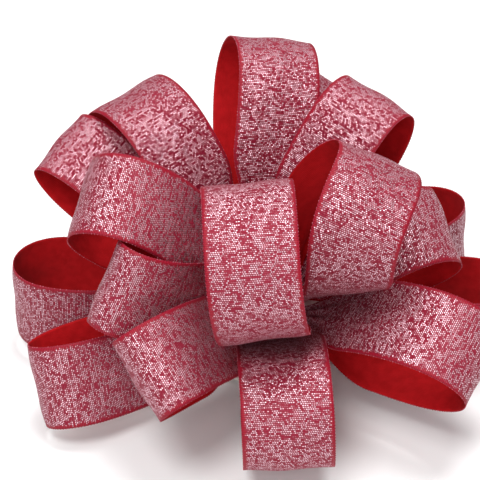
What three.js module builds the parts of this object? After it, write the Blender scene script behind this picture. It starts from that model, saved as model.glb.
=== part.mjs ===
// A pre-made gift bow: ribbon loops gathered round a waist, on an adhesive card base.
// Millimetres, +Z up. The origin is the middle of the adhesive pad's underside, the face that
// sticks to a gift. Azimuths turn from -Y, the bow's front, towards +X.
import * as THREE from "three";

// Ribbon
const RIBBON_WIDTH = 25.4;
const RIBBON_THICKNESS = 0.6;
const NECK_WIDTH = 5;
const NECK_START = 10; // from the waist's centre to the gathered end of a loop
const GATHER_SHARE = 0.45; // share of a loop's reach over which it spreads to full width
const TEARDROP = 1.4; // a higher power holds the two legs together for longer near the neck
const NECK_LENGTH = 3; // how far the legs stay joined
const LEG_SPREAD = 0.8; // half the distance between the legs at the neck
const LOOP_STEPS = 30;
const WAIST_HEIGHT = 21;

// Base
const PAD_RADIUS = 15;
const PAD_HEIGHT = 1.4;
const CARD_RADIUS = 18;
const CARD_THICKNESS = 1;
const CARD_EDGE = 0.25;
const FIT_GAP = 0.3;
const ROUND_STEPS = 32;
const BALL_STEPS = 10;

// Gathered core and what binds it
const CORE_RADIUS = 7;
const STEM_RADIUS = 4.4;
const GLUE_RADIUS = 8;
const GLUE_SHOULDER_RADIUS = 7.2;
const GLUE_SHOULDER_HEIGHT = 1.1;
const GLUE_HEIGHT = 1.8;
const WIRE_RADIUS = 0.5;
const WIRE_GAP = 0.45; // from the stem to the wire, over the flats of the stem's facets
const WIRE_SIDES = 6;
const WIRE_STEPS = 14; // for each turn
const WIRE_TURNS = 3;
const WIRE_PITCH = 1.3;
const WIRE_HEIGHT = 7.2;
const TWIST_LENGTH = 8;
const TWIST_RADIUS = 0.8;
const TWIST_TIP_RADIUS = 0.56;
const TWIST_SIDES = 8;
const TWIST_CENTRE = [9.9, 0, 5.6];

// Colours
const GLITTER_RED = 0xc2506a;
const SHADED_RED = 0x8c1220;
const WIRE_GREY = 0xb9b4ac;
const GLUE_CREAM = 0xe9dfc4;
const CARD_WHITE = 0xf1ece2;
const FOAM_WHITE = 0xe4e4df;

// One row for each loop, in degrees and mm:
// name, azimuth, elevation, roll, reach, height, spin, shift.
// azimuth and elevation say where it points. roll 0 lays the ribbon's width level, and 90 stands
// it on edge. reach runs from waist to crest, and height across the opening. spin is how much
// further the loop is turned at its neck than at its crest. shift places its neck beside the
// waist's centre.
const LOOPS = [
  // crown
  ["crown_front", -5, 52, -7, 75, 43, -10, [0, -6, 0]],
  ["crown_back", -183, 50, -17, 77, 35, 2, [-1, 3, 5]],
  ["crown_left", -132, 42, 16, 74, 35, -3, [-4, 5, 0]],
  ["crown_right", 38, 59, -125, 76, 37, -65, [6, -3, 0]],
  ["crown_back_right", 125, 51, -16, 72, 21, -7, [-1, 0, 3]],
  // middle
  ["middle_front_left", -48, 32, -89, 65, 19, -16, [-3, -1, -1]],
  ["middle_left", -65, 45, -128, 71, 28, -2, [-4, 3, 2]],
  ["middle_back_left", -109, 37, 20, 76, 15, 2, [-6, 2, -1]],
  ["middle_back_right", 159, 25, -37, 77, 28, 9, [1, 3, 3]],
  ["middle_right", 90, 29, -37, 65, 24, -7, [-1, 0, -3]],
  // lower
  ["lower_front", 2, 8, -2, 74, 31, -1, [4, -1, -4]],
  ["lower_front_left", -31, 20, -138, 71, 20, 2, [1, -3, -5]],
  ["lower_left", -61, 1, -115, 74, 22, 12, [-2, -2, -5]],
  ["lower_front_right", 52, 13, -29, 79, 27, 5, [1, -1, -3]],
  ["lower_right", 92, 0, -92, 78, 26, 12, [2, -1, -6]],
  ["lower_side_left", -97, 2, -88, 77, 28, -7, [-2, -1, -5]],
  ["lower_back_left", -130, 0, -92, 76, 27, 19, [-1, 2, -4]],
  ["lower_back", -167, 0, -85, 77, 29, 7, [0, 2, -4]],
  ["lower_back_right", 156, 0, -82, 76, 28, -4, [1, 3, -5]],
  ["lower_side_right", 121, 2, -87, 76, 26, -4, [1, 3, -3]],
].map(([name, azimuth, elevation, roll, reach, height, spin, shift]) => ({
  name: `loop_${name}`,
  azimuth,
  elevation,
  roll,
  reach,
  height,
  spin,
  shift,
}));

const CARD_BOTTOM = PAD_HEIGHT + FIT_GAP;
const CARD_TOP = CARD_BOTTOM + CARD_THICKNESS;

function named(name, geometry, look) {
  const mesh = new THREE.Mesh(geometry, new THREE.MeshStandardMaterial(look));
  mesh.name = name;
  return mesh;
}

// A solid turned about Z from [radius, height] corners that start and end on the axis.
function turned(corners) {
  const points = corners.map(([radius, height]) => new THREE.Vector2(radius, height));
  return new THREE.LatheGeometry(points, ROUND_STEPS).rotateX(Math.PI / 2);
}

// The teardrop line of a loop at t from 0 to 1: share of the reach, and share of half the height.
function teardrop(t) {
  const share = Math.sin(Math.PI * t) ** 2;
  const widest = (TEARDROP + 1) / (TEARDROP + 2);
  const peak = widest ** ((TEARDROP + 1) / 2) * Math.sqrt(1 - widest);
  return [share, (share ** ((TEARDROP + 1) / 2) * Math.cos(Math.PI * t)) / peak];
}

// The loop's side view: a closed strip of the ribbon's thickness, in x from the neck to the crest.
function loopOutline(reach, height) {
  const line = [];
  for (let i = 0; i <= LOOP_STEPS; i++) {
    const [share, rise] = teardrop(i / LOOP_STEPS);
    const half = (rise * height) / 2 + LEG_SPREAD * Math.cos((Math.PI * i) / LOOP_STEPS);
    line.push(new THREE.Vector2(NECK_START + (reach - NECK_START) * share, half));
  }
  const offset = (distance) =>
    line.map((point, i) => {
      const before = line[Math.max(i - 1, 0)];
      const after = line[Math.min(i + 1, LOOP_STEPS)];
      const along = after.clone().sub(before).normalize();
      return new THREE.Vector2(point.x - along.y * distance, point.y + along.x * distance);
    });
  const outer = offset(RIBBON_THICKNESS / 2);
  const inner = offset(-RIBBON_THICKNESS / 2).filter((point) => point.x > NECK_START + NECK_LENGTH);
  const shape = new THREE.Shape(outer.reverse());
  shape.holes.push(new THREE.Path(inner));
  return shape;
}

const smooth = (x) => x * x * (3 - 2 * x);

// Each loop's axes: out along it, across its opening, and along the ribbon's width.
function loopAxes({ azimuth, elevation, roll }) {
  const [turn, rise, tilt] = [azimuth, elevation, roll].map(THREE.MathUtils.degToRad);
  const out = new THREE.Vector3(
    Math.sin(turn) * Math.cos(rise),
    -Math.cos(turn) * Math.cos(rise),
    Math.sin(rise),
  );
  const level = new THREE.Vector3(Math.cos(turn), Math.sin(turn), 0);
  const across = level.clone().cross(out).negate().applyAxisAngle(out, -tilt);
  return { out, across, width: across.clone().cross(out) };
}

// The extruded side view is bent into place: spread from its neck to full width, and turned.
function loopGeometry(row) {
  const { reach, height, spin, shift } = row;
  const { out, across, width } = loopAxes(row);
  const shape = loopOutline(reach, height);
  const settings = { depth: 2, steps: 1, bevelEnabled: false };
  const geometry = new THREE.ExtrudeGeometry(shape, settings);
  const corners = geometry.getAttribute("position");
  const waist = new THREE.Vector3(0, 0, WAIST_HEIGHT).add(new THREE.Vector3(...shift));
  for (let i = 0; i < corners.count; i++) {
    const along = (corners.getX(i) - NECK_START) / (reach - NECK_START);
    const share = THREE.MathUtils.clamp(along, 0, 1);
    const spread = smooth(Math.min(share / GATHER_SHARE, 1));
    const halfWidth = THREE.MathUtils.lerp(NECK_WIDTH, RIBBON_WIDTH, spread) / 2;
    const turn = THREE.MathUtils.degToRad(spin) * (share - 1);
    const side = (1 - corners.getZ(i)) * halfWidth;
    const place = out.clone().multiplyScalar(corners.getX(i));
    place.addScaledVector(across.clone().applyAxisAngle(out, turn), corners.getY(i));
    place.addScaledVector(width.clone().applyAxisAngle(out, turn), side).add(waist);
    corners.setXYZ(i, place.x, place.y, place.z);
  }
  geometry.computeVertexNormals();
  return geometry;
}

// The gathered ribbon ends: a stem on the card under a ball at the waist.
function coreGeometry() {
  const stem = [[0, CARD_TOP + FIT_GAP], [STEM_RADIUS, CARD_TOP + FIT_GAP]];
  const lowest = -Math.acos(STEM_RADIUS / CORE_RADIUS);
  const ball = [];
  for (let i = 0; i <= BALL_STEPS; i++) {
    const angle = THREE.MathUtils.lerp(lowest, Math.PI / 2, i / BALL_STEPS);
    ball.push([CORE_RADIUS * Math.cos(angle), WAIST_HEIGHT + CORE_RADIUS * Math.sin(angle)]);
  }
  return turned([...stem, ...ball]);
}

// Three turns of wire round the stem.
class BindingLine extends THREE.Curve {
  getPoint(t, target = new THREE.Vector3()) {
    const angle = 2 * Math.PI * WIRE_TURNS * t;
    const radius = STEM_RADIUS + WIRE_GAP + WIRE_RADIUS;
    const height = WIRE_HEIGHT + WIRE_TURNS * WIRE_PITCH * t;
    return target.set(radius * Math.cos(angle), radius * Math.sin(angle), height);
  }
}

function bindingGeometry() {
  const section = [];
  for (let i = 0; i < WIRE_SIDES; i++) {
    const angle = (2 * Math.PI * i) / WIRE_SIDES;
    section.push(new THREE.Vector2(WIRE_RADIUS * Math.cos(angle), WIRE_RADIUS * Math.sin(angle)));
  }
  const settings = { steps: WIRE_STEPS * WIRE_TURNS, extrudePath: new BindingLine() };
  return new THREE.ExtrudeGeometry(new THREE.Shape(section), settings);
}

// The wire's ends, twisted together beside the stem.
function twistGeometry() {
  const settings = [TWIST_RADIUS, TWIST_TIP_RADIUS, TWIST_LENGTH, TWIST_SIDES];
  return new THREE.CylinderGeometry(...settings).rotateZ(Math.PI / 2);
}

// Hot glue round the stem's foot, in a closed ring.
function glueGeometry() {
  const inner = STEM_RADIUS + FIT_GAP;
  const bottom = CARD_TOP + FIT_GAP;
  return turned([
    [inner, bottom],
    [GLUE_RADIUS, bottom],
    [GLUE_SHOULDER_RADIUS, bottom + GLUE_SHOULDER_HEIGHT],
    [inner, bottom + GLUE_HEIGHT],
    [inner, bottom],
  ]);
}

// Foam pad and card, each a disc.
function padGeometry() {
  return turned([
    [0, 0],
    [PAD_RADIUS, 0],
    [PAD_RADIUS, PAD_HEIGHT],
    [0, PAD_HEIGHT],
  ]);
}

function cardGeometry() {
  return turned([
    [0, CARD_BOTTOM],
    [CARD_RADIUS - CARD_EDGE, CARD_BOTTOM],
    [CARD_RADIUS, CARD_BOTTOM + CARD_EDGE],
    [CARD_RADIUS, CARD_TOP - CARD_EDGE],
    [CARD_RADIUS - CARD_EDGE, CARD_TOP],
    [0, CARD_TOP],
  ]);
}

const glitter = { color: GLITTER_RED, roughness: 0.45, metalness: 0.3 };
const steel = { color: WIRE_GREY, roughness: 0.35, metalness: 1 };

const bow = new THREE.Group();
for (const row of LOOPS) bow.add(named(row.name, loopGeometry(row), glitter));
bow.add(named("gathered_core", coreGeometry(), { color: SHADED_RED, roughness: 0.8 }));
bow.add(named("binding_wire", bindingGeometry(), steel));
const twist = named("wire_twisted_end", twistGeometry(), steel);
twist.position.set(...TWIST_CENTRE);
bow.add(twist);
bow.add(named("glue_ring", glueGeometry(), { color: GLUE_CREAM, roughness: 0.3 }));
bow.add(named("card_disc", cardGeometry(), { color: CARD_WHITE, roughness: 0.85 }));
bow.add(named("adhesive_pad", padGeometry(), { color: FOAM_WHITE, roughness: 0.9 }));

export default bow;
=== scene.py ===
import math

import bpy
import numpy as np
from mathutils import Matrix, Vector


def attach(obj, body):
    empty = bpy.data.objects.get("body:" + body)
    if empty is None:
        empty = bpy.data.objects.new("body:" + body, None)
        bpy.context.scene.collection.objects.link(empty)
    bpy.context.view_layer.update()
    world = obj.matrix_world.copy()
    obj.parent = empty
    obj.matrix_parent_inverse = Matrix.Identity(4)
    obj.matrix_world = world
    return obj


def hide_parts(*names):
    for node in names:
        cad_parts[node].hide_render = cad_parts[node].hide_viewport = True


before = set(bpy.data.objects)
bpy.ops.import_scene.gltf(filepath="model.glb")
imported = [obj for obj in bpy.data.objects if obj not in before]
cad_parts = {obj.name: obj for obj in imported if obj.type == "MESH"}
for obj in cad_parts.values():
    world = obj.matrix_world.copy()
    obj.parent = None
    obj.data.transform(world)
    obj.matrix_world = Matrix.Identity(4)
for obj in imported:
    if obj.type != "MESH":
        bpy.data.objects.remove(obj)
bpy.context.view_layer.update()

MM = 0.001

# ---------------------------------------------------------------- camera
WAIST = Vector((0, 0, 0.021))
CAMERA_ELEVATION = math.radians(35)
CAMERA_DISTANCE = 0.5
CAMERA_LENS = 119.6
AIM_RIGHT, AIM_UP = -0.0069, 0.0188

toward = Vector((0, -math.cos(CAMERA_ELEVATION), math.sin(CAMERA_ELEVATION)))
upward = Vector((0, math.sin(CAMERA_ELEVATION), math.cos(CAMERA_ELEVATION)))
aim = WAIST + AIM_RIGHT * Vector((1, 0, 0)) + AIM_UP * upward
camera = bpy.data.objects.new("camera", bpy.data.cameras.new("camera"))
camera.data.lens = CAMERA_LENS
camera.data.clip_start = 0.01
camera.location = aim + CAMERA_DISTANCE * toward
camera.rotation_euler = (-toward).to_track_quat("-Z", "Y").to_euler()
bpy.context.scene.collection.objects.link(camera)
bpy.context.scene.camera = camera


# ---------------------------------------------------------------- mesh helpers
def mesh_object(name, points, faces, materials, indices=None, uvs=None):
    """A smooth-shaded mesh. points are in mm, indices has one material index per face, and uvs
    one pair per face corner."""
    mesh = bpy.data.meshes.new(name)
    mesh.from_pydata((np.asarray(points, float) * MM).tolist(), [], faces)
    for material in materials:
        mesh.materials.append(material)
    if indices is not None:
        mesh.polygons.foreach_set("material_index", np.asarray(indices, np.int32))
    if uvs is not None:
        layer = mesh.uv_layers.new(name="UVMap")
        layer.data.foreach_set("uv", np.asarray(uvs, np.float32).ravel())
    mesh.polygons.foreach_set("use_smooth", np.ones(len(mesh.polygons), bool))
    mesh.update()
    piece = bpy.data.objects.new(name, mesh)
    bpy.context.scene.collection.objects.link(piece)
    return piece


# ---------------------------------------------------------------- node helpers
UV_SPAN = 1000.0  # mm to one unit of the ribbon's UV map


class Nodes:
    """Short calls for making a material's nodes."""

    def __init__(self, name):
        self.material = bpy.data.materials.new(name)
        self.material.use_nodes = True
        self.tree = self.material.node_tree
        self.shader = self.tree.nodes["Principled BSDF"]

    def node(self, kind, **settings):
        made = self.tree.nodes.new(kind)
        for key, value in settings.items():
            setattr(made, key, value)
        return made

    def put(self, value, socket):
        if isinstance(value, bpy.types.NodeSocket):
            self.tree.links.new(value, socket)
        else:
            socket.default_value = value

    def math(self, operation, a, b=0.0, c=0.0):
        made = self.node("ShaderNodeMath", operation=operation)
        for value, socket in zip((a, b, c), made.inputs):
            self.put(value, socket)
        return made.outputs[0]

    def mix(self, factor, a, b):
        made = self.node("ShaderNodeMix", data_type="RGBA")
        self.put(factor, made.inputs["Factor"])
        self.put(a, made.inputs[6])
        self.put(b, made.inputs[7])
        return made.outputs[2]

    def ramp(self, value, low, high, out_low=0.0, out_high=1.0):
        made = self.node("ShaderNodeMapRange", interpolation_type="SMOOTHSTEP")
        for v, socket in zip((value, low, high, out_low, out_high), made.inputs):
            self.put(v, socket)
        return made.outputs[0]

    def join(self, x, y, z=0.0):
        made = self.node("ShaderNodeCombineXYZ")
        for value, socket in zip((x, y, z), made.inputs):
            self.put(value, socket)
        return made.outputs[0]

    def noise(self, vector, scale, detail=2.0, roughness=0.5):
        made = self.node("ShaderNodeTexNoise")
        self.put(vector, made.inputs["Vector"])
        made.inputs["Scale"].default_value = scale
        made.inputs["Detail"].default_value = detail
        made.inputs["Roughness"].default_value = roughness
        return made.outputs["Fac"]

    def white(self, vector):
        made = self.node("ShaderNodeTexWhiteNoise", noise_dimensions="3D")
        self.put(vector, made.inputs["Vector"])
        return made

    def bump(self, height, distance, strength=1.0, normal=None):
        made = self.node("ShaderNodeBump")
        made.inputs["Distance"].default_value = distance
        made.inputs["Strength"].default_value = strength
        self.put(height, made.inputs["Height"])
        if normal is not None:
            self.put(normal, made.inputs["Normal"])
        return made.outputs[0]

    def set(self, **values):
        for key, value in values.items():
            self.put(value, self.shader.inputs[key.replace("_", " ")])
        return self.material

    def uv_mm(self):
        """u along the ribbon and v across it, in mm."""
        made = self.node("ShaderNodeSeparateXYZ")
        self.put(self.node("ShaderNodeUVMap", uv_map="UVMap").outputs[0], made.inputs[0])
        along = self.math("MULTIPLY", made.outputs[0], UV_SPAN)
        across = self.math("MULTIPLY", made.outputs[1], UV_SPAN)
        return along, across


# ---------------------------------------------------------------- ribbon materials
# widths and pitches in mm
RIBBON_WIDTH = 25.4
SELVEDGE = 1.0
SELVEDGE_BLUR = 0.35
SELVEDGE_FRAY = 0.7
THREAD_PITCH = 0.48
PICOT_PITCH = 0.95
WEFT_PITCH = 0.52
SATIN_WEFT_PITCH = 0.4
STITCH_PITCH = 0.62
# shares of a stitch
TWILL_STEP = -0.38
ROW_SHAKE = 0.4
RUN_LENGTH = 3.0  # stitches whose painted glint flashes together
RUN_SHIFT = 9.0  # the most stitches that a row's runs are shifted by
RUN_GAIN = 1.05  # how much a run's own chance of a painted flash is raised
LONE_WEIGHT = 0.35  # how much each stitch's own chance counts
STITCH_TILT = 0.3  # range of the sideways parts of a stitch's normal
DARK_RED = (0.17, 0.0015, 0.01, 1)
SATIN_DARK, SATIN_LIGHT = (0.36, 0.004, 0.006, 1), (0.44, 0.006, 0.009, 1)
ROSE = (0.31, 0.022, 0.06, 1)
# the metal yarn's silver, made near white as painted glint on the flashing stitches
SILVER_AND_PAINTED_GLINT = (0.95, 0.71, 0.8, 1)
SELVEDGE_RED = (0.3, 0.005, 0.02, 1)


def glitter_material():
    n = Nodes("glitter_weave")
    along, across = n.uv_mm()

    row = n.math("DIVIDE", along, WEFT_PITCH)
    row_index = n.math("FLOOR", row)
    shaky = n.white(n.join(row_index, 0.5, 3.0)).outputs["Value"]
    # each row steps sideways by the twill's share of a stitch, and by a little of its own
    step = n.math("MULTIPLY_ADD", shaky, ROW_SHAKE, n.math("MULTIPLY", row_index, TWILL_STEP))
    stitch = n.math("ADD", n.math("DIVIDE", across, STITCH_PITCH), step)
    stitch_index = n.math("FLOOR", stitch)
    shifted = n.math("ADD", stitch_index, n.math("MULTIPLY", shaky, RUN_SHIFT))
    run_index = n.math("FLOOR", n.math("DIVIDE", shifted, RUN_LENGTH))
    cell = n.white(n.join(row_index, stitch_index, 8.0))
    run = n.white(n.join(row_index, run_index, 21.0))
    row_place = n.math("ABSOLUTE", n.math("SUBTRACT", n.math("FRACT", row), 0.5))
    stitch_place = n.math("ABSOLUTE", n.math("SUBTRACT", n.math("FRACT", stitch), 0.5))
    thick = n.ramp(row_place, 0.12, 0.4, 1.0, 0.0)
    mask = n.math("MULTIPLY", thick, n.ramp(stitch_place, 0.16, 0.44, 1.0, 0.0))
    # painted glint: some stitches are painted a bright silver flash, alone and in runs of three, more of
    # them in noisy patches
    painted_glint_patch = n.noise(n.join(along, across), 0.3, 4.0, 0.6)
    share = n.ramp(painted_glint_patch, 0.3, 0.7, 0.4, 0.1)
    run_chance = n.math("MULTIPLY", run.outputs["Value"], RUN_GAIN)
    chance = n.math("MAXIMUM", cell.outputs["Value"], run_chance)
    shared = n.math("MULTIPLY", chance, 1 - LONE_WEIGHT)
    chance = n.math("MULTIPLY_ADD", cell.outputs["Value"], LONE_WEIGHT, shared)
    painted_flash = n.math("POWER", n.ramp(chance, share, 1.0), 1.3)
    metal_and_painted_glint = n.math("MULTIPLY", mask, painted_flash)
    edge = n.math("SUBTRACT", RIBBON_WIDTH / 2, n.math("ABSOLUTE", across))
    frayed = n.math("MULTIPLY_ADD", n.math("SUBTRACT", shaky, 0.5), SELVEDGE_FRAY, edge)
    body = n.ramp(frayed, SELVEDGE - SELVEDGE_BLUR, SELVEDGE + SELVEDGE_BLUR)
    thread = n.math("SINE", n.math("MULTIPLY", across, 2 * math.pi / THREAD_PITCH))
    warp = n.ramp(thread, -0.6, 0.8)
    ground = n.mix(n.math("MULTIPLY", thick, 0.6), DARK_RED, ROSE)
    # painted glint: the flashing stitches are painted bright silver over the crimson ground
    colour = n.mix(metal_and_painted_glint, ground, SILVER_AND_PAINTED_GLINT)
    picot = n.math("SINE", n.math("MULTIPLY", along, 2 * math.pi / PICOT_PITCH))
    picot = n.math("MULTIPLY", n.ramp(picot, 0.2, 0.9), n.ramp(edge, 0.5, 0.1))
    selvedge_red = n.mix(thick, DARK_RED, SELVEDGE_RED)
    selvedge_red = n.mix(n.math("MULTIPLY", picot, 0.4), selvedge_red, ROSE)
    colour = n.mix(body, selvedge_red, colour)
    # each stitch is tipped a little its own way, so it sparkles
    tips = n.node("ShaderNodeSeparateColor")
    n.put(cell.outputs["Color"], tips.inputs[0])
    tip_x = n.math("MULTIPLY_ADD", n.math("SUBTRACT", tips.outputs[0], 0.5), STITCH_TILT, 0.5)
    tip_y = n.math("MULTIPLY_ADD", n.math("SUBTRACT", tips.outputs[1], 0.5), STITCH_TILT, 0.5)
    normal = n.node("ShaderNodeNormalMap", uv_map="UVMap")
    n.put(n.join(tip_x, tip_y, 1.0), normal.inputs["Color"])
    n.put(body, normal.inputs["Strength"])
    height = n.math("MULTIPLY_ADD", mask, 0.6, n.math("MULTIPLY", warp, 0.4))
    bumped = n.bump(height, 0.0001, 0.5, normal.outputs[0])
    # the painted flashing stitches are also the metal ones, and a little smoother
    return n.set(
        Base_Color=colour,
        Metallic=n.math("MULTIPLY", body, n.math("MULTIPLY_ADD", metal_and_painted_glint, 0.75, 0.1)),
        Roughness=n.math("MULTIPLY_ADD", metal_and_painted_glint, -0.1, 0.55),
        Specular_IOR_Level=0.2,
        Normal=bumped,
        Sheen_Weight=0.02,
        Sheen_Roughness=0.4,
        Sheen_Tint=(1.0, 0.7, 0.78, 1),
    )


def satin_material():
    n = Nodes("plain_inner_face")
    along, across = n.uv_mm()
    weft = n.math("SINE", n.math("MULTIPLY", along, 2 * math.pi / SATIN_WEFT_PITCH))
    warp = n.math("SINE", n.math("MULTIPLY", across, 2 * math.pi / THREAD_PITCH))
    cloudy = n.noise(n.join(along, across), 0.35, 4.0)
    colour = n.mix(n.ramp(cloudy, 0.3, 0.7), SATIN_DARK, SATIN_LIGHT)
    height = n.math("MULTIPLY_ADD", weft, 0.5, n.math("MULTIPLY", warp, 0.5))
    return n.set(
        Base_Color=colour,
        Roughness=0.7,
        Specular_IOR_Level=0.1,
        Normal=n.bump(height, 0.00005, 0.5),
        Sheen_Weight=0.05,
        Sheen_Roughness=0.5,
        Sheen_Tint=(1.0, 0.3, 0.35, 1),
    )


def picot_material():
    n = Nodes("picot_thread")
    along, _ = n.uv_mm()
    bead = n.math("FLOOR", n.math("DIVIDE", along, PICOT_PITCH))
    chance = n.white(n.join(bead, 1.0)).outputs["Value"]
    colour = n.mix(n.ramp(chance, 0.5, 0.95), SELVEDGE_RED, (0.5, 0.14, 0.19, 1))
    return n.set(Base_Color=colour, Roughness=0.45, Metallic=0.2)


glitter = glitter_material()
satin = satin_material()
picot_thread = picot_material()

# ---------------------------------------------------------------- ribbon loops
# The same rows as the CAD model's: name, azimuth, elevation and roll in degrees, reach and height
# in mm, spin in degrees from the tip to the neck, and the waist's shift in mm.
LOOPS = [
    ("crown_front", -5, 52, -7, 75, 43, -10, (0, -6, 0)),
    ("crown_back", -183, 50, -17, 77, 35, 2, (-1, 3, 5)),
    ("crown_left", -132, 42, 16, 74, 35, -3, (-4, 5, 0)),
    ("crown_right", 38, 59, -125, 76, 37, -65, (6, -3, 0)),
    ("crown_back_right", 125, 51, -16, 72, 21, -7, (-1, 0, 3)),
    ("middle_front_left", -48, 32, -89, 65, 19, -16, (-3, -1, -1)),
    ("middle_left", -65, 45, -128, 71, 28, -2, (-4, 3, 2)),
    ("middle_back_left", -109, 37, 20, 76, 15, 2, (-6, 2, -1)),
    ("middle_back_right", 159, 25, -37, 77, 28, 9, (1, 3, 3)),
    ("middle_right", 90, 29, -37, 65, 24, -7, (-1, 0, -3)),
    ("lower_front", 2, 8, -2, 74, 31, -1, (4, -1, -4)),
    ("lower_front_left", -31, 20, -138, 71, 20, 2, (1, -3, -5)),
    ("lower_left", -61, 1, -115, 74, 22, 12, (-2, -2, -5)),
    ("lower_front_right", 52, 13, -29, 79, 27, 5, (1, -1, -3)),
    ("lower_right", 92, 0, -92, 78, 26, 12, (2, -1, -6)),
    ("lower_side_left", -97, 2, -88, 77, 28, -7, (-2, -1, -5)),
    ("lower_back_left", -130, 0, -92, 76, 27, 19, (-1, 2, -4)),
    ("lower_back", -167, 0, -85, 77, 29, 7, (0, 2, -4)),
    ("lower_back_right", 156, 0, -82, 76, 28, -4, (1, 3, -5)),
    ("lower_side_right", 121, 2, -87, 76, 26, -4, (1, 3, -3)),
]
NECK_WIDTH = 5
NECK_START = 10
GATHER_SHARE = 0.45
TEARDROP = 1.4
LEG_SPREAD = 0.8
WAIST_HEIGHT = 21
THICKNESS = 0.3
STEPS_ALONG = 170
STEPS_ACROSS = 30
TAIL = 4.5  # how far the pinched ends run on into the waist
PICOT_RADIUS = 0.2
PLEATS = 4
PLEAT_FADE = 0.42  # share of the reach over which the pleats die out
PLEAT_PHASE = 0.8  # radians from one loop to the next
CUPPING = 0.35  # how far the ribbon's edges curl in
RIPPLE_START = 0.5  # share of the reach by which the ripples and the cupping are whole
# two slow ripples: depth in mm, turns along and across the ribbon, radians from loop to loop
RIPPLES = ((0.22, 2.3, 0.7, 1.9), (0.12, 5.1, -0.4, 4.1))
# every loop starts at a different place in the weave
WEAVE_STEP, WEAVE_REPEAT = 400.0, 977.0


def smooth(x):
    return x * x * (3 - 2 * x)


def centreline(reach, height):
    """The loop's side view in (out, across), evenly spaced along its length, and that length."""
    t = np.linspace(0, 1, 4001)
    share = np.sin(math.pi * t) ** 2
    widest = (TEARDROP + 1) / (TEARDROP + 2)
    peak = widest ** ((TEARDROP + 1) / 2) * math.sqrt(1 - widest)
    rise = share ** ((TEARDROP + 1) / 2) * np.cos(math.pi * t) / peak
    x = NECK_START + (reach - NECK_START) * share
    y = rise * height / 2 + LEG_SPREAD * np.cos(math.pi * t)
    run = np.concatenate([[0], np.cumsum(np.hypot(np.diff(x), np.diff(y)))])
    x = np.concatenate([[NECK_START - TAIL], x, [NECK_START - TAIL]])
    y = np.concatenate([[y[0]], y, [y[-1]]])
    run = np.concatenate([[0], run + TAIL, [run[-1] + 2 * TAIL]])
    places = np.linspace(0, run[-1], STEPS_ALONG + 1)
    return np.interp(places, run, x), np.interp(places, run, y), run[-1]


def turned_about(axis, vectors, angles):
    """vectors turned about a unit axis, each by its own angle."""
    c, s = np.cos(angles)[:, None], np.sin(angles)[:, None]
    dot = (vectors @ axis)[:, None]
    return vectors * c + np.cross(axis, vectors) * s + axis * dot * (1 - c)


GOLDEN = (1 + math.sqrt(5)) / 2
BEAD_CORNERS = np.array(
    [(-1, GOLDEN, 0), (1, GOLDEN, 0), (-1, -GOLDEN, 0), (1, -GOLDEN, 0), (0, -1, GOLDEN), (0, 1, GOLDEN)]
    + [(0, -1, -GOLDEN), (0, 1, -GOLDEN), (GOLDEN, 0, -1), (GOLDEN, 0, 1), (-GOLDEN, 0, -1), (-GOLDEN, 0, 1)]
) / math.hypot(1, GOLDEN)
BEAD_FACES = [(0, 11, 5), (0, 5, 1), (0, 1, 7), (0, 7, 10), (0, 10, 11), (1, 5, 9), (5, 11, 4)]
BEAD_FACES += [(11, 10, 2), (10, 7, 6), (7, 1, 8), (3, 9, 4), (3, 4, 2), (3, 2, 6), (3, 6, 8)]
BEAD_FACES += [(3, 8, 9), (4, 9, 5), (2, 4, 11), (6, 2, 10), (8, 6, 7), (9, 8, 1)]


def beads(line, radius, begin):
    """A small round bead at each point of a line: its points, and its faces numbered from begin."""
    made = (line[:, None] + BEAD_CORNERS[None] * radius).reshape(-1, 3)
    corners = len(BEAD_CORNERS)
    made_faces = [
        tuple(begin + k * corners + c for c in face) for k in range(len(line)) for face in BEAD_FACES
    ]
    return made, made_faces


def loop_axes(azimuth, elevation, roll):
    """Unit vectors out of the waist, through the loop's two legs, and across the ribbon."""
    az, el, tilt = map(math.radians, (azimuth, elevation, roll))
    out = np.array((math.sin(az) * math.cos(el), -math.cos(az) * math.cos(el), math.sin(el)))
    level = np.array((math.cos(az), math.sin(az), 0.0))
    legs = turned_about(out, -np.cross(level, out)[None], np.array([-tilt]))[0]
    return out, legs, np.cross(legs, out)


def ribbon_faces(rows, cols):
    """The faces of a ribbon whose outer points come first: outer side, inner side and rim."""
    half = rows * cols
    i, j = np.meshgrid(np.arange(rows - 1), np.arange(cols - 1), indexing="ij")
    a = (i * cols + j).ravel()
    outer = np.stack([a + cols, a + cols + 1, a + 1, a], 1)
    inner = outer[:, ::-1] + half
    k = np.arange(rows - 1) * cols
    m = np.arange(cols - 1)
    last = (rows - 1) * cols
    rim = [
        np.stack([k + half, k + cols + half, k + cols, k], 1),
        np.stack([k + 2 * cols - 1, k + 2 * cols - 1 + half, k + cols - 1 + half, k + cols - 1], 1),
        np.stack([m + 1, m + 1 + half, m + half, m], 1),
        np.stack([m + last + half, m + 1 + last + half, m + 1 + last, m + last], 1),
    ]
    return outer, inner, np.concatenate(rim)


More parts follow.
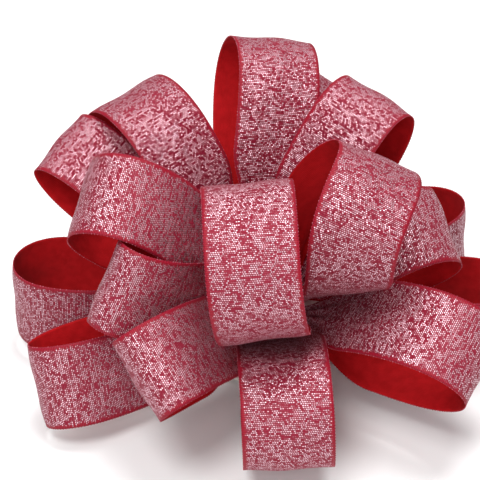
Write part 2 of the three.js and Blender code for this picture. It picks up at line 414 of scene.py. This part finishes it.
def ribbon_points(index, row):
    """The ribbon's outer and inner points, each rows x columns x 3, and its length."""
    _, azimuth, elevation, roll, reach, height, spin, shift = row
    out, legs, width = loop_axes(azimuth, elevation, roll)
    x, y, length = centreline(reach, height)
    share = np.clip((x - NECK_START) / (reach - NECK_START), 0, 1)
    spread = smooth(np.minimum(share / GATHER_SHARE, 1))
    ribbon = NECK_WIDTH + (RIBBON_WIDTH - NECK_WIDTH) * spread
    turn = np.radians(spin) * (share - 1)
    axis_y = turned_about(out, np.repeat(legs[None], len(x), 0), turn)
    axis_w = turned_about(out, np.repeat(width[None], len(x), 0), turn)
    waist = np.array((0, 0, WAIST_HEIGHT)) + np.array(shift)

    v = np.linspace(-1, 1, STEPS_ACROSS + 1)
    side = v[None, :] * ribbon[:, None] / 2
    # pleats: both legs fold together, so that they nest
    room = np.clip(1 - share / PLEAT_FADE, 0, 1)
    slack = np.sqrt(np.maximum(RIBBON_WIDTH / ribbon - 1, 0))
    depth = ribbon / (math.pi * PLEATS) * slack * smooth(room)
    fold = depth[:, None] * np.cos(math.pi * PLEATS * v[None, :] + PLEAT_PHASE * index)
    # slow ripples, and a slight cupping across the width, along the sheet's own normal
    u = np.linspace(0, 1, len(x))[:, None]
    lift = -CUPPING * v[None, :] ** 2
    for size, turns_along, turns_across, phase in RIPPLES:
        turns = turns_along * u + turns_across * v[None, :]
        lift = lift + size * np.sin(2 * math.pi * turns + phase * index)
    lift = lift * smooth(np.clip(share / RIPPLE_START, 0, 1))[:, None]
    # the line runs out on the y > 0 side and back on the other, so this normal points outward
    dx, dy = np.gradient(x), np.gradient(y)
    speed = np.hypot(dx, dy)
    nx, ny = -dy / speed, dx / speed

    def layer(offset):
        px = x[:, None] + nx[:, None] * (lift + offset)
        py = y[:, None] + ny[:, None] * (lift + offset) + fold
        points = px[..., None] * out + py[..., None] * axis_y[:, None]
        return points + side[..., None] * axis_w[:, None] + waist

    return layer(THICKNESS / 2), layer(-THICKNESS / 2), length


def picots(grid, length, start, weave_start):
    """A picot at every turn of the weft, along both edges: points, faces and face-corner UVs."""
    rows = len(grid)
    at = np.linspace(0.5, rows - 1.5, int(length / PICOT_PITCH))
    points, faces, uvs = [], [], []
    for column, edge in ((0, -1), (-1, 1)):
        line = np.stack([np.interp(at, np.arange(rows), grid[:, column, k]) for k in range(3)], 1)
        made, made_faces = beads(line, PICOT_RADIUS, start + sum(map(len, points)))
        points.append(made)
        faces += made_faces
        for spot in at / (rows - 1) * length + weave_start:
            uvs += [(spot / UV_SPAN, edge * RIBBON_WIDTH / 2 / UV_SPAN)] * (3 * len(BEAD_FACES))
    return np.concatenate(points), faces, uvs


def add_loop(index, row):
    outer, inner, length = ribbon_points(index, row)
    rows, cols = outer.shape[:2]
    points = np.concatenate([outer.reshape(-1, 3), inner.reshape(-1, 3)])
    outer_faces, inner_faces, rim = ribbon_faces(rows, cols)
    faces = np.concatenate([outer_faces, inner_faces, rim]).tolist()

    weave_start = WEAVE_STEP * index % WEAVE_REPEAT
    along = np.linspace(0, length, rows) + weave_start
    across = np.linspace(-1, 1, cols) * RIBBON_WIDTH / 2
    uv = np.stack(np.meshgrid(along, across, indexing="ij"), -1).reshape(-1, 2) / UV_SPAN
    corner_uv = np.concatenate([uv, uv])[np.concatenate(faces)]

    bead_points, bead_faces, bead_uv = picots((outer + inner) / 2, length, len(points), weave_start)
    # material 0 is the glitter face and the rim, 1 the plain face and 2 the picots
    indices = np.repeat([0, 1, 0, 2], [len(outer_faces), len(inner_faces), len(rim), len(bead_faces)])
    piece = mesh_object(
        "ribbon_" + row[0],
        np.concatenate([points, bead_points]),
        faces + bead_faces,
        [glitter, satin, picot_thread],
        indices,
        np.concatenate([corner_uv, bead_uv]),
    )
    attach(piece, row[0])
    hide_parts("loop_" + row[0])


for index, row in enumerate(LOOPS):
    add_loop(index, row)

# ---------------------------------------------------------------- the waist and the base
CARD_BOTTOM, CARD_TOP = 1.7, 2.7
STEM_RADIUS = 4.4
CORE_RADIUS = 7.0
FOOT = CARD_TOP + 0.3  # the stem and the glue start a little above the card


def revolved(name, profile, steps, material, radius_at=None, height_at=None):
    """A closed solid turned about Z from (radius, height) corners. They run from axis to axis, or,
    where the first is off the axis, round a closed ring. radius_at and height_at add a little to each point's radius and height, from its angle and place."""
    angles = np.linspace(0, 2 * math.pi, steps, endpoint=False)
    points, faces = [], []
    rings = []
    for radius, height in profile:
        if radius == 0:
            rings.append([len(points)])
            points.append((0, 0, height))
            continue
        ring = []
        for angle in angles:
            r = radius + (radius_at(angle, radius, height) if radius_at else 0)
            z = height + (height_at(angle, radius, height) if height_at else 0)
            ring.append(len(points))
            points.append((r * math.cos(angle), r * math.sin(angle), z))
        rings.append(ring)
    closed = profile[0][0] > 0
    for low, high in zip(rings, rings[1:] + ([rings[0]] if closed else [])):
        for k in range(steps):
            m = (k + 1) % steps
            if len(low) == 1:
                faces.append((low[0], high[m], high[k]))
            elif len(high) == 1:
                faces.append((low[k], low[m], high[0]))
            else:
                faces.append((low[k], low[m], high[m], high[k]))
    return mesh_object(name, points, faces, [material])


NOT_ALONG = (0.3, 0.5, 0.81)  # a direction that no tube starts in
TUBE_TIP = 0.5  # how far a tube's ends are drawn out, as a share of its radius


def tube(name, line, radius, sides, material):
    """A closed tube of round section along a line of points, with bluntly pointed ends."""
    along = np.gradient(line, axis=0)
    along /= np.linalg.norm(along, axis=1)[:, None]
    up = np.cross(along[0], NOT_ALONG)
    points, faces = [], []
    for place, way in zip(line, along):
        up = up - (up @ way) * way
        up /= np.linalg.norm(up)
        aside = np.cross(way, up)
        for j in range(sides):
            angle = 2 * math.pi * j / sides
            points.append(place + radius * (math.cos(angle) * up + math.sin(angle) * aside))
    for k in range(len(line) - 1):
        for j in range(sides):
            m = (j + 1) % sides
            faces.append((k * sides + j, k * sides + m, (k + 1) * sides + m, (k + 1) * sides + j))
    for k, way in ((0, -along[0]), (len(line) - 1, along[-1])):
        ring = [k * sides + j for j in range(sides)]
        tip = len(points)
        points.append(line[k] + way * radius * TUBE_TIP)
        for j in range(sides):
            pair = (ring[j], ring[(j + 1) % sides])
            faces.append((pair[1], pair[0], tip) if k == 0 else (pair[0], pair[1], tip))
    return mesh_object(name, points, faces, [material])


def place_on_core(piece, node):
    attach(piece, "core")
    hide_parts(node)


def object_mm(n):
    """The point on the object, in mm."""
    made = n.node("ShaderNodeVectorMath", operation="SCALE")
    n.put(n.node("ShaderNodeTexCoord").outputs["Object"], made.inputs[0])
    made.inputs["Scale"].default_value = 1 / MM
    return made.outputs[0]


def gathered_material():
    n = Nodes("gathered_ribbon")
    place = object_mm(n)
    crinkle_and_painted_sparkle = n.noise(place, 2.2, 3.0)
    broad = n.noise(place, 0.5, 2.0)
    colour = n.mix(n.ramp(broad, 0.35, 0.65), (0.22, 0.004, 0.009, 1), (0.38, 0.012, 0.022, 1))
    # pink flecks on the crinkles' high points: painted sparkle standing in for the glitter yarn's glints
    colour = n.mix(n.ramp(crinkle_and_painted_sparkle, 0.6, 0.75), colour, (0.75, 0.35, 0.4, 1))
    return n.set(Base_Color=colour, Roughness=0.6, Normal=n.bump(crinkle_and_painted_sparkle, 0.0002, 0.6))


def wire_material():
    n = Nodes("binding_wire")
    marks = n.noise(object_mm(n), 5.0, 3.0)
    rough = n.ramp(marks, 0.3, 0.7, 0.25, 0.45)
    return n.set(
        Base_Color=(0.62, 0.6, 0.57, 1),
        Metallic=1.0,
        Roughness=rough,
        Normal=n.bump(marks, 0.00004, 0.4),
    )


def glue_material():
    n = Nodes("hot_glue")
    cloud = n.noise(object_mm(n), 0.6, 3.0)
    colour = n.mix(n.ramp(cloud, 0.3, 0.7), (0.83, 0.74, 0.55, 1), (0.9, 0.86, 0.74, 1))
    return n.set(
        Base_Color=colour,
        Roughness=0.22,
        Subsurface_Weight=0.4,
        Subsurface_Scale=0.002,
        Coat_Weight=0.4,
        Normal=n.bump(n.noise(object_mm(n), 1.5, 2.0), 0.0002, 0.5),
    )


def card_material():
    n = Nodes("card")
    place = object_mm(n)
    fibre = n.noise(place, 3.5, 5.0, 0.65)
    mottle = n.noise(place, 0.25, 2.0)
    colour = n.mix(n.ramp(mottle, 0.35, 0.65), (0.8, 0.77, 0.7, 1), (0.86, 0.84, 0.78, 1))
    colour = n.mix(n.ramp(fibre, 0.62, 0.75), colour, (0.62, 0.57, 0.48, 1))
    return n.set(Base_Color=colour, Roughness=0.85, Normal=n.bump(fibre, 0.00008, 0.6))


def foam_material():
    n = Nodes("adhesive_foam")
    cells = n.node("ShaderNodeTexVoronoi", feature="F1")
    n.put(object_mm(n), cells.inputs["Vector"])
    cells.inputs["Scale"].default_value = 2.4
    pore_and_painted_shade = n.ramp(cells.outputs["Distance"], 0.1, 0.5)
    # the pores are painted darker: painted shade in the foam's sunken cells
    colour = n.mix(pore_and_painted_shade, (0.6, 0.6, 0.58, 1), (0.82, 0.82, 0.8, 1))
    return n.set(Base_Color=colour, Roughness=0.7, Normal=n.bump(pore_and_painted_shade, 0.00015, 0.8))


def arc(centre, radius, start, end, steps):
    """Points of an arc in (radius, height), in degrees from the outward direction."""
    angles = np.radians(np.linspace(start, end, steps))
    return [(centre[0] + radius * math.cos(a), centre[1] + radius * math.sin(a)) for a in angles]


# the ends of all the loops, pleated together
FOLDS = 19
stem_top = WAIST_HEIGHT - math.sqrt(CORE_RADIUS**2 - STEM_RADIUS**2)
lowest = math.degrees(math.asin((stem_top - WAIST_HEIGHT) / CORE_RADIUS))
# the pleats stand out from the profile, so it lies inside the CAD's stem and ball
STEM_INSET, BALL_INSET = 0.35, 0.3
core_profile = [(0, FOOT)]
core_profile += [(STEM_RADIUS - STEM_INSET, z) for z in np.linspace(FOOT, stem_top - 0.6, 16)]
core_profile += arc((0, WAIST_HEIGHT), CORE_RADIUS - BALL_INSET, lowest, 88, 26)
core_profile += [(0, WAIST_HEIGHT + CORE_RADIUS - BALL_INSET)]
PLEAT_HEIGHT = 0.32
PLEAT_TWIST = 0.09  # radians to a mm of height


def pleat_depth(angle, radius, height):
    twist = PLEAT_TWIST * height
    fold = math.sin(FOLDS * angle + twist * 3) + 0.4 * math.sin((2 * FOLDS + 5) * angle - twist)
    return PLEAT_HEIGHT * fold * min(radius / STEM_RADIUS, 1)


core = revolved("gathered_ends", core_profile, 240, gathered_material(), radius_at=pleat_depth)
place_on_core(core, "gathered_core")

# the wire round the stem, and its ends twisted together
wire = wire_material()
WIRE_RADIUS, WIRE_TURNS, WIRE_PITCH, WIRE_HEIGHT = 0.5, 3, 1.3, 7.2
COIL_RADIUS = STEM_RADIUS + 0.95  # leaves the wire's inner side 0.45 mm clear of the stem
COIL_WOBBLE = 0.08
t = np.linspace(0, 1, 72 * WIRE_TURNS + 1)
coil_angle = 2 * math.pi * WIRE_TURNS * t
coil_reach = COIL_RADIUS + COIL_WOBBLE * np.sin(5 * coil_angle)
coil_line = np.stack(
    [
        coil_reach * np.cos(coil_angle),
        coil_reach * np.sin(coil_angle),
        WIRE_HEIGHT + WIRE_TURNS * WIRE_PITCH * t,
    ],
    1,
)
coil = tube("binding_wire_coil", coil_line, WIRE_RADIUS, 12, wire)
place_on_core(coil, "binding_wire")

TWIST_START, TWIST_LENGTH, TWIST_HEIGHT, STRAND_RADIUS = 5.9, 8.0, 5.6, 0.38
TWIST_TURNS, TWIST_RADIUS = 2.6, 0.4
TWIST_RISE, TWIST_DROOP = 0.35, 0.7


def strand(phase):
    """One strand's line, which winds round an axis that droops towards its free end."""
    s = np.linspace(0, 1, 90)
    turn = 2 * math.pi * TWIST_TURNS * s + phase
    return np.stack(
        [
            TWIST_START + TWIST_LENGTH * s,
            TWIST_RADIUS * np.cos(turn),
            TWIST_HEIGHT + TWIST_RISE - TWIST_DROOP * s**2 + TWIST_RADIUS * np.sin(turn),
        ],
        1,
    )


twist = tube("wire_twist_a", strand(0), STRAND_RADIUS, 10, wire)
other = tube("wire_twist_b", strand(math.pi), STRAND_RADIUS, 10, wire)
for piece in (twist, other):
    place_on_core(piece, "wire_twisted_end")


# hot glue round the stem's foot
GLUE_GAP, GLUE_WIDTH, GLUE_HEIGHT, GLUE_FOOT = 0.25, 3.2, 1.6, 7.3
GLUE_REACH = 3.6  # how far from the stem the ring's unevenness is whole


def glue_spread(angle, radius, height):
    """The ring's edge runs unevenly, more so the farther out it is."""
    uneven = 0.3 * math.sin(3 * angle + 1) + 0.18 * math.sin(7 * angle)
    return uneven * (radius - STEM_RADIUS) / GLUE_REACH


def glue_lumps(angle, radius, height):
    """The ring's top is higher in some places than in others."""
    return 0.12 * math.sin(4 * angle + 2) * (height - FOOT)


glue_profile = [(STEM_RADIUS + GLUE_GAP, FOOT), (GLUE_FOOT, FOOT)]
glue_profile += [
    (
        STEM_RADIUS + GLUE_GAP + GLUE_WIDTH * math.cos(a) ** 0.8,
        FOOT + GLUE_HEIGHT * math.sin(a) ** 0.9,
    )
    for a in np.linspace(0.06, math.pi / 2 - 0.02, 14)
]
glue = revolved("glue_bead", glue_profile, 120, glue_material(), glue_spread, glue_lumps)
place_on_core(glue, "glue_ring")

# card and foam, with rounded edges
CARD_RADIUS, PAD_RADIUS, PAD_HEIGHT = 18.0, 15.0, 1.4
EDGE, PAD_EDGE = 0.25, 0.12
card_profile = [(0, CARD_BOTTOM), (6, CARD_BOTTOM), (12, CARD_BOTTOM)]
card_profile += arc((CARD_RADIUS - EDGE, CARD_BOTTOM + EDGE), EDGE, -90, 0, 5)
card_profile += arc((CARD_RADIUS - EDGE, CARD_TOP - EDGE), EDGE, 0, 90, 5)
card_profile += [(12, CARD_TOP), (6, CARD_TOP), (0, CARD_TOP)]
card = revolved("card_base", card_profile, 144, card_material())
place_on_core(card, "card_disc")


def squeezed(angle, radius, height):
    """The foam's side bulges a little."""
    if radius < PAD_RADIUS - 1:
        return 0
    return 0.18 * math.sin(math.pi * height / PAD_HEIGHT) + 0.05 * math.sin(23 * angle) - 0.2


pad_profile = [(0, 0), (7, 0), (13, 0), (PAD_RADIUS - PAD_EDGE, 0)]
pad_profile += [(PAD_RADIUS, z) for z in np.linspace(PAD_EDGE, PAD_HEIGHT - PAD_EDGE, 8)]
pad_profile += [(PAD_RADIUS - PAD_EDGE, PAD_HEIGHT)]
pad_profile += [(13, PAD_HEIGHT), (7, PAD_HEIGHT), (0, PAD_HEIGHT)]
pad = revolved("foam_pad", pad_profile, 192, foam_material(), radius_at=squeezed)
place_on_core(pad, "adhesive_pad")

# ---------------------------------------------------------------- floor and light
FLOOR_SIZE = 4.0
WORLD_STRENGTH = 0.38


def floor_material():
    n = Nodes("floor")
    return n.set(Base_Color=(0.9, 0.9, 0.9, 1), Roughness=0.9)


floor = mesh_object(
    "floor",
    [
        (east * FLOOR_SIZE / 2 / MM, north * FLOOR_SIZE / 2 / MM, 0)
        for east, north in ((-1, -1), (1, -1), (1, 1), (-1, 1))
    ],
    [(0, 1, 2, 3)],
    [floor_material()],
)

world = bpy.data.worlds.new("studio")
bpy.context.scene.world = world
world.use_nodes = True
background = world.node_tree.nodes["Background"]
background.inputs["Color"].default_value = (1, 1, 1, 1)
background.inputs["Strength"].default_value = WORLD_STRENGTH


def area_light(name, place, size, power):
    data = bpy.data.lights.new(name, "AREA")
    data.shape = "DISK"
    data.size = size
    data.energy = power
    lamp = bpy.data.objects.new(name, data)
    lamp.location = place
    lamp.rotation_euler = (Vector(place) - WAIST).to_track_quat("Z", "Y").to_euler()
    bpy.context.scene.collection.objects.link(lamp)


area_light("key", (-0.2, -0.4, 0.85), 0.35, 4.5)
area_light("front", (-0.1, -0.75, 0.5), 0.4, 2.5)
area_light("top", (0.1, 0.1, 0.9), 0.5, 7)

bpy.context.scene.view_settings.view_transform = "Standard"
